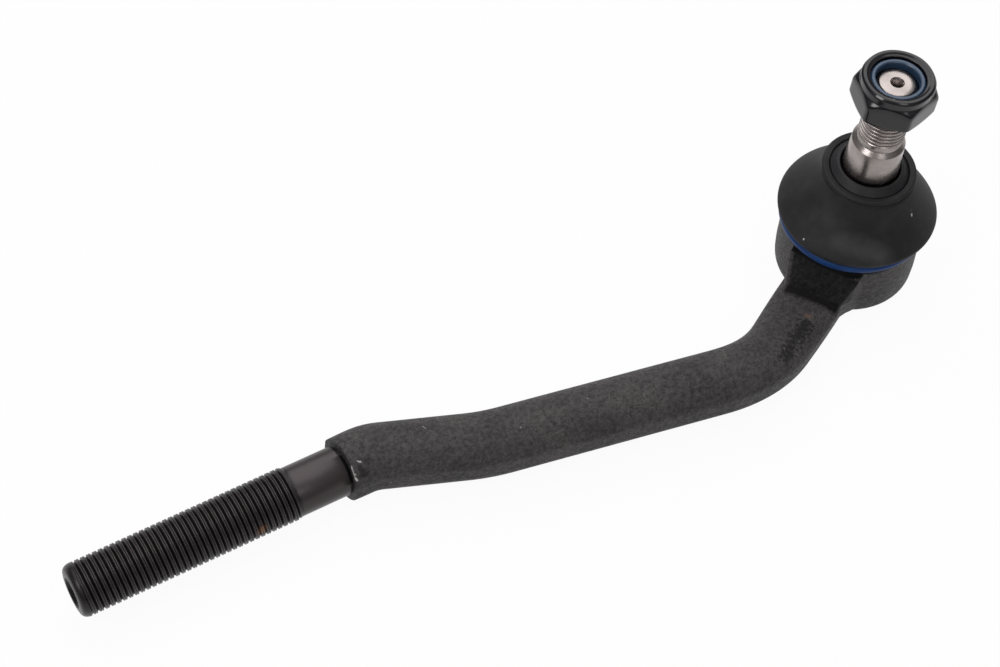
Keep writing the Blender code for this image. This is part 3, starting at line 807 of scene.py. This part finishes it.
    def cut_shoulder(self, skin: bpy.types.Mesh) -> None:
        """Cuts the skin off at the shoulder, nearly square, and closes it with a flat face."""
        shape = bmesh.new()
        shape.from_mesh(skin)
        everything = [*shape.verts, *shape.edges, *shape.faces]
        at, facing = (self.shoulder_x, 0.0, self.arm_z), (-1.0, -SHOULDER_TILT[0], -SHOULDER_TILT[1])
        cut = bmesh.ops.bisect_plane(shape, geom=everything, plane_co=at, plane_no=facing, clear_outer=True)
        rim = [part for part in cut["geom_cut"] if isinstance(part, bmesh.types.BMEdge)]
        bmesh.ops.edgeloop_fill(shape, edges=rim)
        shape.to_mesh(skin)
        shape.free()
        skin.shade_smooth()
        skin.set_sharp_from_angle(angle=math.radians(55.0))


@dataclass
class Shank:
    """Threaded end of the forging, with a chamfered tip, a centre hole and a smooth neck."""

    end_x: float = -0.2225
    axis_y: float = -0.0006
    axis_z: float = 0.0100
    length: float = 0.0561
    shoulder: float = 0.0706
    blank_radius: float = 0.0065
    undercut: float = 0.0004
    tip_radius: float = 0.0055
    tip_slant: float = 0.085
    slant_towards: tuple = (-0.49, 0.87)
    nose: float = 0.0024
    hole_radius: float = 0.0039
    hole_depth: float = 0.0040
    runout: float = 0.0013
    first_turn: float = 0.0014
    thread: Thread = Thread(crest=0.0069, root=0.0063, pitch=0.0015, samples=16, crest_share=0.42, seam=0.3)

    def along_x(self, radius: np.ndarray, distance: np.ndarray, turn: np.ndarray) -> np.ndarray:
        """Points at a radius and turn round the shank's axis, a distance from its tip; both ends slant."""
        y, z = radius * np.cos(turn), radius * np.sin(turn)
        tip = self.tip_slant * (y * self.slant_towards[0] + z * self.slant_towards[1])
        tip = tip * np.clip(1.0 - distance / self.nose, 0.0, 1.0)
        root = y * SHOULDER_TILT[0] + z * SHOULDER_TILT[1]
        root = root * np.clip((distance - self.shoulder) / 0.003 + 1.0, 0.0, 1.0)
        return np.stack([self.end_x + distance + tip - root, self.axis_y + y, self.axis_z + z], axis=-1)

    def build(self, finish: bpy.types.Material) -> None:
        """Makes the thread, fading into the blank at its inner end, and closes both ends."""
        distance, turn = self.thread.grid(0.0, self.length + self.runout)
        ridge = self.thread.height(distance, turn)
        started = ease((distance - self.first_turn) / self.thread.pitch)
        radius = self.thread.crest - (self.thread.crest - self.thread.root) * (1.0 - ridge) * started
        fade = ease((distance - self.length) / self.runout)
        radius = radius + (self.blank_radius - radius) * fade
        gone = np.clip(distance / self.nose, 0.0, 1.0)
        nose = self.tip_radius + (self.thread.crest - self.tip_radius) * np.sqrt(1.0 - (1.0 - gone) ** 2)
        radius = np.minimum(radius, nose)
        ridge = 0.5 + (ridge - 0.5) * started * (1.0 - fade)
        body = Shell(self.along_x(radius, distance, turn), wrap_columns=False, values={"ridge": ridge})
        steps = np.linspace(0.0, FULL_TURN, self.thread.steps + 1)
        # Rings of the tip and its hole, from the rim inwards, and of the neck, from the thread on
        # Third column: ridge value for the finish. 0 paints the centre hole and the undercut at the shoulder
        # with the roots' dark tone, a painted shade; 2 gives the plain neck's tone
        tip = np.array(
            [
                [self.tip_radius, 0.0, 0.4],
                [self.tip_radius - 0.0003, -0.0001, 0.4],
                [self.hole_radius + 0.0002, -0.0001, 0.4],
                [self.hole_radius, 0.0002, 0.0],
                [0.0012, self.hole_depth * 0.6, 0.0],
                [0.0, self.hole_depth, 0.0],
            ]
        )
        neck = np.array(
            [
                [self.blank_radius, self.length + self.runout, 1.0],
                [self.blank_radius, self.length + self.runout + 0.0008, 2.0],
                [self.blank_radius, self.shoulder - 0.0008, 2.0],
                [self.blank_radius - self.undercut, self.shoulder - 0.0005, 0.0],
                [self.blank_radius - self.undercut, self.shoulder + 0.0020, 0.0],
                [0.0, self.shoulder + 0.0020, 0.0],
            ]
        )
        ends = [
            Shell(
                self.along_x(rings[:, :1], rings[:, 1:2], steps[None, :]),
                wrap_columns=False,
                values={"ridge": np.repeat(rings[:, 2:], len(steps), axis=1)},
            )
            for rings in (tip, neck)
        ]
        piece = build_piece("threaded_shank", [body, *ends], 50.0)
        dress(piece, finish, "forged_black_steel", "forged_body")
        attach(piece, Body.HOUSING.value)


@dataclass
class BallStud:
    """Ball, neck, ground taper, thread and centre-drilled end of the stud."""

    ball_radius: float = 0.010
    ball_flat: float = -0.0082
    neck_radius: float = 0.0055
    neck_top: float = 0.0140
    taper_foot: float = 0.0175
    taper_top: float = 0.0358
    taper_top_radius: float = 0.00681
    taper_slope: float = 0.05
    relief_radius: float = 0.0055
    thread_start: float = 0.0378
    length: float = 0.0570
    chamfer: float = 0.0018
    end_radius: float = 0.0044
    hole_radius: float = 0.0016
    hole_depth: float = 0.0033
    steps: int = 128
    thread: Thread = Thread(crest=0.00594, root=0.00517, pitch=0.00125, steps=96)

    def taper_radius(self, height: float) -> float:
        """Radius of the taper at a height above the ball's centre."""
        return self.taper_top_radius + self.taper_slope * (self.taper_top - height)

    def shaft_shell(self) -> Shell:
        """Turned shaft: ball, neck, taper, polished edge and relief under the thread."""
        top = math.sqrt(self.ball_radius**2 - self.neck_radius**2)
        low = math.asin(self.ball_flat / self.ball_radius)
        high = math.asin(top / self.ball_radius)
        sweep = np.linspace(low, high, 40)
        ball = np.stack([self.ball_radius * np.cos(sweep), self.ball_radius * np.sin(sweep)], axis=1)
        shaft = rounded_profile(
            [
                (self.neck_radius, top + 0.0004, 0.0),
                (self.neck_radius, self.neck_top, 0.0010),
                (self.taper_radius(self.taper_foot), self.taper_foot, 0.0010),
                (self.taper_top_radius, self.taper_top, 0.00015),
                (self.relief_radius + 0.0002, self.taper_top + 0.0011, 0.0003),
                (self.relief_radius, self.taper_top + 0.0016, 0.0003),
                (self.relief_radius, self.thread_start + 0.0014, 0.0),
                (0.0, self.thread_start + 0.0014, 0.0),
            ]
        )
        profile = np.concatenate([[[0.0, self.ball_flat]], ball, shaft])
        grid = turned(profile, self.steps)
        return Shell(on_stud(grid), values={"along_mm": grid[..., 2] * 1000.0})

    def thread_shells(self) -> list[Shell]:
        """Thread with a starting chamfer, and the end face with its centre hole."""
        distance, turn = self.thread.grid(self.thread_start, self.length)
        ridge = self.thread.height(distance, turn)
        radius = self.thread.root + (self.thread.crest - self.thread.root) * ridge
        fade = ease((distance - self.thread_start) / 0.0016)
        radius = self.relief_radius + (radius - self.relief_radius) * fade
        cone_rise = (self.thread.crest - self.end_radius) * (self.length - distance) / self.chamfer
        cone = self.end_radius + cone_rise
        radius = np.minimum(radius, cone)
        grid = np.stack([radius * np.cos(turn), radius * np.sin(turn), distance], axis=-1)
        body = Shell(on_stud(grid), wrap_columns=False, values={"along_mm": distance * 1000.0})
        steps = np.linspace(0.0, FULL_TURN, self.thread.steps + 1)[None, :]
        hole_edge = self.hole_radius
        radii = np.array([self.end_radius, 0.0030, hole_edge + 0.0002, hole_edge, 0.0007, 0.0007, 0.0])
        depth = np.array([0.0, 0.0, 0.0, 0.00025, self.hole_depth * 0.6, self.hole_depth, self.hole_depth])
        heights = self.length - depth[:, None] + 0.0 * steps
        end = np.stack([radii[:, None] * np.cos(steps), radii[:, None] * np.sin(steps), heights], axis=-1)
        rings = np.repeat(radii[:, None] * 1000.0, steps.shape[1], axis=1)
        return [body, Shell(on_stud(end), wrap_columns=False, values={"along_mm": rings})]

    def build(self, finish: bpy.types.Material) -> None:
        """Makes the shaft and the thread as two pieces that turn with the stud."""
        shaft = build_piece("stud_shaft", [self.shaft_shell()])
        thread = build_piece("stud_thread", self.thread_shells(), 50.0)
        for piece in (shaft, thread):
            dress(piece, finish, "machined_steel", "ball_stud")
            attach(piece, Body.STUD.value)


@dataclass
class DustBoot:
    """Rubber boot between the cup and the stud, its clamp ring and the ring in its mouth."""

    fixed_z: float = 0.0216
    carried_z: float = 0.0372
    split_z: float = 0.0292
    steps: int = 128
    sag: float = 0.0008
    bulge: float = 0.0006
    droop: float = 0.0006
    bead_radius: float = 0.0182
    ring_inner: float = 0.0185
    ring_outer: float = 0.01985
    ring_low: float = 0.01915
    ring_top: float = 0.0213

    def profile(self) -> tuple[np.ndarray, np.ndarray]:
        """Closed outline of the boot's wall, cut across the wall at the split height.

        Returns:
            Outline of the lower part and outline of the upper part, as (radius, height) rows.
        """
        outer = bezier([(0.0206, 0.0236), (0.0206, 0.0249), (0.0135, 0.0323), (0.0121, 0.0366)], 40)
        inner = bezier([(0.0110, 0.0351), (0.0122, 0.0312), (0.0185, 0.0252), (0.0185, 0.0236)], 40)
        bead = rounded_profile(
            [
                (0.0185, 0.0236, 0.0),
                (0.0172, 0.0226, 0.0004),
                (0.0171, 0.0213, 0.0003),
                (0.0163, 0.0209, 0.0002),
                (0.0163, 0.01915, 0.0002),
                (self.bead_radius, 0.01915, 0.0004),
                (self.bead_radius, 0.0216, 0.0002),
                (0.0196, 0.0219, 0.0008),
                (0.0206, 0.0229, 0.0008),
                (0.0206, 0.0236, 0.0),
            ]
        )
        lip = rounded_profile(
            [
                (0.0121, 0.0366, 0.0),
                (0.0113, 0.0372, 0.0001),
                (0.0120, 0.0377, 0.0002),
                (0.0123, 0.0384, 0.0003),
                (0.0119, 0.0390, 0.0005),
                (0.0104, 0.0388, 0.0002),
                (0.0103, 0.0382, 0.0001),
                (0.0111, 0.0381, 0.0001),
                (0.0111, 0.0371, 0.0001),
                (0.0094, 0.0371, 0.0001),
                (0.0094, 0.0359, 0.0001),
                (0.0110, 0.0351, 0.0),
            ]
        )
        rise = int(np.argmax(outer[:, 1] > self.split_z))
        fall = int(np.argmax(inner[:, 1] < self.split_z))
        lower = np.concatenate([inner[fall:], bead[1:-1], outer[: rise + 1]])
        upper = np.concatenate([outer[rise:], lip[1:-1], inner[: fall + 1]])
        return lower, upper

    def leaning(self, profile: np.ndarray) -> np.ndarray:
        """Turns each ring of a profile about the ball by its share of the lean, with a sag that way."""
        grid = turned(profile - [0.0, BALL_CENTRE[2]], self.steps)
        risen = np.clip((profile[:, 1] - self.fixed_z) / (self.carried_z - self.fixed_z), 0.0, 1.0)
        towards = np.array([math.cos(LEAN_AZIMUTH), math.sin(LEAN_AZIMUTH), 0.0])
        sag = self.sag * np.sin(math.pi * risen**1.6)[:, None, None] * towards
        # The side that the stud leans to is squeezed, so it bulges and hangs lower
        outward = grid * [1.0, 1.0, 0.0] / np.linalg.norm(grid[..., :2], axis=-1, keepdims=True)
        squeezed = np.clip(outward @ towards, 0.0, 1.0) ** 2 * np.sin(math.pi * risen**0.3)[:, None]
        grid = grid + squeezed[..., None] * (self.bulge * outward - [0.0, 0.0, self.droop])
        return np.einsum("rij,rcj->rci", lean_matrix(ease(risen)), grid) + BALL_CENTRE + sag

    def build(self, rubber: bpy.types.Material) -> None:
        """Makes the boot in two parts that meet at the split."""
        low_outline, high_outline = self.profile()
        low = build_piece("boot_lower", [Shell(self.leaning(low_outline), wrap_rows=True)], 50.0)
        high = build_piece("boot_upper", [Shell(self.leaning(high_outline), wrap_rows=True)], 50.0)
        for piece in (low, high):
            dress(piece, rubber, "boot_rubber", "dust_boot")
        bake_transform(low)
        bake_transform(high)

    def build_rings(self, blue: bpy.types.Material, soft: bpy.types.Material) -> None:
        """Makes the blue clamp ring and the conical ring in the boot's mouth."""
        clamp = rounded_profile(
            [
                (self.ring_inner, self.ring_low, 0.0002),
                (self.ring_outer, self.ring_low, 0.0008),
                (self.ring_outer, self.ring_top, 0.0008),
                (self.ring_inner, self.ring_top, 0.0002),
            ],
            closed=True,
        )
        piece = build_piece("clamp_ring", [Shell(turned(clamp, 160), wrap_rows=True)], 60.0)
        dress(piece, blue, "blue_ring", "boot_clamp_ring")
        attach(piece, Body.HOUSING.value)
        mouth = rounded_profile(
            [
                (0.0078, 0.0234, 0.0001),
                (0.0110, 0.0234, 0.0002),
                (0.0110, 0.0239, 0.0001),
                (0.0102, 0.0239, 0.0002),
                (0.0101, 0.0247, 0.0004),
                (0.0086, 0.0261, 0.0010),
                (0.0081, 0.0264, 0.0003),
                (0.0078, 0.0261, 0.0002),
                (0.00768, 0.0250, 0.0002),
            ],
            closed=True,
        )
        piece = build_piece("mouth_ring", [Shell(on_stud(turned(mouth, 128)), wrap_rows=True)], 60.0)
        dress(piece, soft, "mouth_ring_rubber", "boot_mouth_ring")
        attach(piece, Body.BOOT_MOUTH.value)


@dataclass
class LockNut:
    """Hexagon nut with chamfered corners, a rolled collar and a nylon insert."""

    bottom: float = 0.0497
    across_flats: float = 0.019
    hex_turn: float = math.radians(-135.3)
    corner_blend: float = 0.0006
    corner_power: float = 36.0
    steps: int = 288

    def outline(self) -> np.ndarray:
        """Radius of the hexagon at each turn, its corners rounded by a high power mean of the six flats."""
        turn = np.linspace(0.0, FULL_TURN, self.steps, endpoint=False)[:, None]
        from_flat = turn - np.arange(6) * math.pi / 3.0
        near = np.clip(np.cos(from_flat), 0.0, 1.0) ** self.corner_power
        return self.across_flats / 2.0 / np.sum(near, axis=1) ** (1.0 / self.corner_power)

    def shell(self) -> Shell:
        """Nut as rings: the hexagon, cut back to the limiting radius of the turned profile."""
        corner = self.across_flats / 2.0 / math.cos(math.pi / 6.0)
        limits = rounded_profile(
            [
                (0.0069, 0.0, 0.0002),
                (0.0093, 0.0, 0.0003),
                (corner + 0.0006, 0.00115, 0.0),
                (corner + 0.0006, 0.0050, 0.0),
                (0.0101, 0.0064, 0.0012),
                (0.0093, 0.0071, 0.0005),
                (0.0093, 0.0089, 0.0005),
                (0.0087, 0.0095, 0.0004),
                (0.0080, 0.0095, 0.0003),
                (0.0075, 0.0092, 0.0002),
                (0.0067, 0.0089, 0.0002),
                (0.0072, 0.0086, 0.0),
                (0.0072, 0.0058, 0.0),
                (0.0063, 0.0058, 0.0),
                (0.0063, 0.0006, 0.0),
            ],
            count=8,
            closed=True,
        )
        limits = self.densify(limits, 0.00035)
        outline = self.outline()[None, :]
        radius = np.minimum(soft_min(limits[:, :1], outline, self.corner_blend), limits[:, :1])
        turn = np.linspace(0.0, FULL_TURN, self.steps, endpoint=False) + self.hex_turn
        height = self.bottom + limits[:, 1:] + 0.0 * turn
        grid = np.stack([radius * np.cos(turn), radius * np.sin(turn), height], axis=-1)
        return Shell(on_stud(grid), wrap_rows=True)

    @staticmethod
    def densify(path: np.ndarray, step: float) -> np.ndarray:
        """Adds points along a closed path so that no leg is longer than a step."""
        closed = np.concatenate([path, path[:1]])
        parts = []
        for start, end in zip(closed[:-1], closed[1:]):
            count = max(1, int(math.ceil(np.linalg.norm(end - start) / step)))
            parts.append(start + (end - start) * np.linspace(0.0, 1.0, count, endpoint=False)[:, None])
        return np.concatenate(parts)

    def build(self, plate: bpy.types.Material, nylon: bpy.types.Material) -> None:
        """Makes the nut and the insert in its collar."""
        nut = build_piece("hexagon_nut", [self.shell()], 40.0)
        dress(nut, plate, "black_plated_nut", "lock_nut")
        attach(nut, Body.NUT.value)
        corners = [
            (0.0055, 0.0061, 0.0002),
            (0.0069, 0.0061, 0.0),
            (0.0069, 0.0081, 0.0001),
            (0.0064, 0.0086, 0.0003),
            (0.0058, 0.0086, 0.0003),
            (0.0055, 0.0083, 0.0002),
        ]
        profile = rounded_profile(corners, closed=True) + [0.0, self.bottom]
        insert = build_piece("insert_ring", [Shell(on_stud(turned(profile, 128)), wrap_rows=True)], 50.0)
        dress(insert, nylon, "blue_nylon", "nylon_insert")
        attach(insert, Body.INSERT.value)


@dataclass
class Underside:
    """End cover pressed into the cup, seen only from below, and the hidden bearing pieces."""

    low: float = 0.0009
    top: float = 0.0024
    radius: float = 0.0143

    def build(
        self, plated: bpy.types.Material, acetal: bpy.types.Material, spring: bpy.types.Material
    ) -> None:
        """Makes the cover with a pressed step and dresses the hidden solids."""
        corners = [
            (0.0, self.low + 0.0006, 0.0),
            (0.0078, self.low + 0.0006, 0.0006),
            (0.0092, self.low, 0.0006),
            (self.radius, self.low, 0.0002),
            (self.radius, self.top, 0.0002),
            (0.0, self.top, 0.0),
        ]
        cover = build_piece("cover_plate", [Shell(turned(rounded_profile(corners), 128))], 40.0)
        dress(cover, plated, "zinc_plated_cover", "end_cover")
        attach(cover, Body.HOUSING.value)
        hidden = {"upper_bearing_seat": acetal, "lower_bearing_seat": acetal, "pressure_spring": spring}
        for node, finish in hidden.items():
            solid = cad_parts[node]
            solid.data.materials.clear()
            solid.data.materials.append(finish)


@dataclass
class Studio:
    """White floor, soft lights and the camera at the photograph's viewing angle."""

    camera_at: tuple = (-0.24129, -0.23454, 0.42311)
    camera_turn: tuple = (34.9961, -0.5735, -28.9596)
    lens: float = 70.2
    floor_z: float = -0.0004
    aim: tuple = (-0.09, -0.01, 0.02)
    glow: tuple = (0.92, 0.2)
    glow_reach: tuple = (0.35, 1.2)

    def build(self) -> None:
        """Makes the world, the floor, the lamps and the camera."""
        self.world()
        self.floor()
        self.lamp("top_lamp", (0.10, 0.42, 0.80), 1.3, 10.0)
        self.lamp("left_lamp", (-0.62, -0.10, 0.68), 0.3, 2.2)
        self.lamp("right_lamp", (-0.13, -0.62, 0.68), 0.3, 0.9)
        camera = bpy.data.cameras.new("camera")
        camera.lens = self.lens
        camera.sensor_width = 36.0
        camera.clip_start = 0.01
        stand = bpy.data.objects.new("camera", camera)
        stand.location = self.camera_at
        stand.rotation_euler = Euler([math.radians(a) for a in self.camera_turn], "XYZ")
        bpy.context.scene.collection.objects.link(stand)
        bpy.context.scene.camera = stand
        bpy.context.scene.view_settings.view_transform = "Standard"

    def world(self) -> None:
        """A dome for light, pale overhead and greyer towards the horizon, and white to the eye."""
        world = bpy.data.worlds.new("studio")
        world.use_nodes = True
        tree = world.node_tree
        tree.nodes.clear()
        where = add_node(tree, "TexCoord").outputs["Generated"]
        height = add_node(tree, "SeparateXYZ", {0: where}).outputs["Z"]
        share = add_node(tree, "MapRange", {"Value": height, "From Max": 0.8})
        ends = {MIX_A: linear("#4a4a4c"), MIX_B: linear("#f4f4f4")}
        tone = add_node(tree, "Mix", {"Factor": share} | ends, data_type="RGBA")
        dome = add_node(tree, "Background", {"Color": tone, "Strength": 0.6})
        white = add_node(tree, "Background", {"Color": linear("#ffffff"), "Strength": 1.0})
        eye = add_node(tree, "LightPath").outputs["Is Camera Ray"]
        mix = add_node(tree, "MixShader", {0: eye, 1: dome, 2: white})
        add_node(tree, "OutputWorld", {"Surface": mix})
        bpy.context.scene.world = world

    def floor(self) -> None:
        """A white sheet: seen by eye or in a reflection it glows white, and it keeps a faint shadow."""
        side = np.linspace(-3.0, 3.0, 9)
        x, y = np.meshgrid(side, side, indexing="ij")
        grid = np.stack([x, y, np.full_like(x, self.floor_z)], axis=-1)
        sheet = build_piece("floor", [Shell(grid, wrap_columns=False)])
        made, tree, paper, where = Finish().start("white_floor", Base_Color=linear("#a8a8a8"), Roughness=0.9)
        glow = add_node(tree, "Emission", {"Color": linear("#ffffff"), "Strength": 1.03})
        ray = add_node(tree, "LightPath").outputs
        rays = {0: ray["Is Camera Ray"], 1: ray["Is Transmission Ray"]}
        eye = add_node(tree, "Math", rays, operation="MAXIMUM")
        seen = add_node(tree, "Math", {0: eye, 1: self.glow[0]}, operation="MULTIPLY")
        # In a reflection the glow fades with the distance from the object
        away = add_node(tree, "VectorMath", {0: where}, operation="LENGTH")
        reach = {"Value": away, "From Min": self.glow_reach[0], "From Max": self.glow_reach[1]}
        faded = add_node(tree, "MapRange", reach | {"To Min": self.glow[0], "To Max": self.glow[1]})
        mirrored = add_node(tree, "Math", {0: ray["Is Glossy Ray"], 1: faded}, operation="MULTIPLY")
        share = add_node(tree, "Math", {0: seen, 1: mirrored}, operation="MAXIMUM")
        mix = add_node(tree, "MixShader", {0: share, 1: paper, 2: glow})
        feed_node(tree, tree.nodes["Material Output"], {"Surface": mix})
        sheet.data.materials.append(made)

    def lamp(self, name: str, at: tuple, size: float, watts: float) -> None:
        """A square soft light aimed at the object."""
        light = bpy.data.lights.new(name, "AREA")
        light.size = size
        light.energy = watts
        stand = bpy.data.objects.new(name, light)
        stand.location = at
        stand.rotation_euler = (Vector(at) - Vector(self.aim)).to_track_quat("Z", "Y").to_euler()
        bpy.context.scene.collection.objects.link(stand)


def main() -> None:
    """Builds the finishes, then each sub-assembly, then the studio."""
    logging.basicConfig(level=logging.INFO, format="%(message)s")
    thread_steel = RolledThread().make()
    turned_steel = TurnedSteel().make()
    scuffs_and_painted_sheen = (
        # The first mark is a painted sheen, a broad lighter patch on the boot's low front; the others are
        # scuff marks
        Mark((-0.0140, -0.0105, 0.0275), (-0.0064, -0.0180, 0.0257), 0.0040, "#383738", 0.0100, 1.0),
        Mark((-0.0198, -0.0042, 0.0248), (-0.0195, -0.0040, 0.0250), 0.0003, "#c2beb8"),
        Mark((0.0054, -0.0147, 0.0312), (0.0056, -0.0146, 0.0318), 0.0004, "#a8a4a0"),
        Mark((0.0058, -0.0143, 0.0318), (0.0057, -0.0137, 0.0328), 0.0003, "#4a4849"),
    )
    rubber = MouldedRubber(marks=scuffs_and_painted_sheen).make()
    soft = MouldedRubber(name="mouth_rubber", colour="#1c1b1d", dust="#282729", roughness=0.5).make()
    blue = CloudedSurface("blue_polymer", "#1a3768", "#1e4176", roughness=0.4, gloss=0.15).make()
    bright = {"roughness": 0.14, "spread": 0.05, "cloud_mm": 2.5, "gloss": 0.4}
    plate = CloudedSurface("black_plate", "#0e0c10", "#151318", **bright).make()
    nylon = CloudedSurface("blue_nylon", "#22354b", "#2e4258", roughness=0.3).make()
    plated = CloudedSurface("zinc_plate", "#9c9a94", "#b3b1aa", metallic=1.0, roughness=0.35).make()
    acetal = CloudedSurface("acetal", "#e4e2db", "#efece6", roughness=0.45).make()
    spring = CloudedSurface("oiled_spring_steel", "#7a7a7c", "#8c8c8e", metallic=1.0, roughness=0.35).make()
    Forging().build(ForgedScale().make())
    Shank().build(thread_steel)
    BallStud().build(turned_steel)
    boot = DustBoot()
    boot.build(rubber)
    boot.build_rings(blue, soft)
    LockNut().build(plate, nylon)
    Underside().build(plated, acetal, spring)
    Studio().build()


if __name__ == "__main__":
    main()
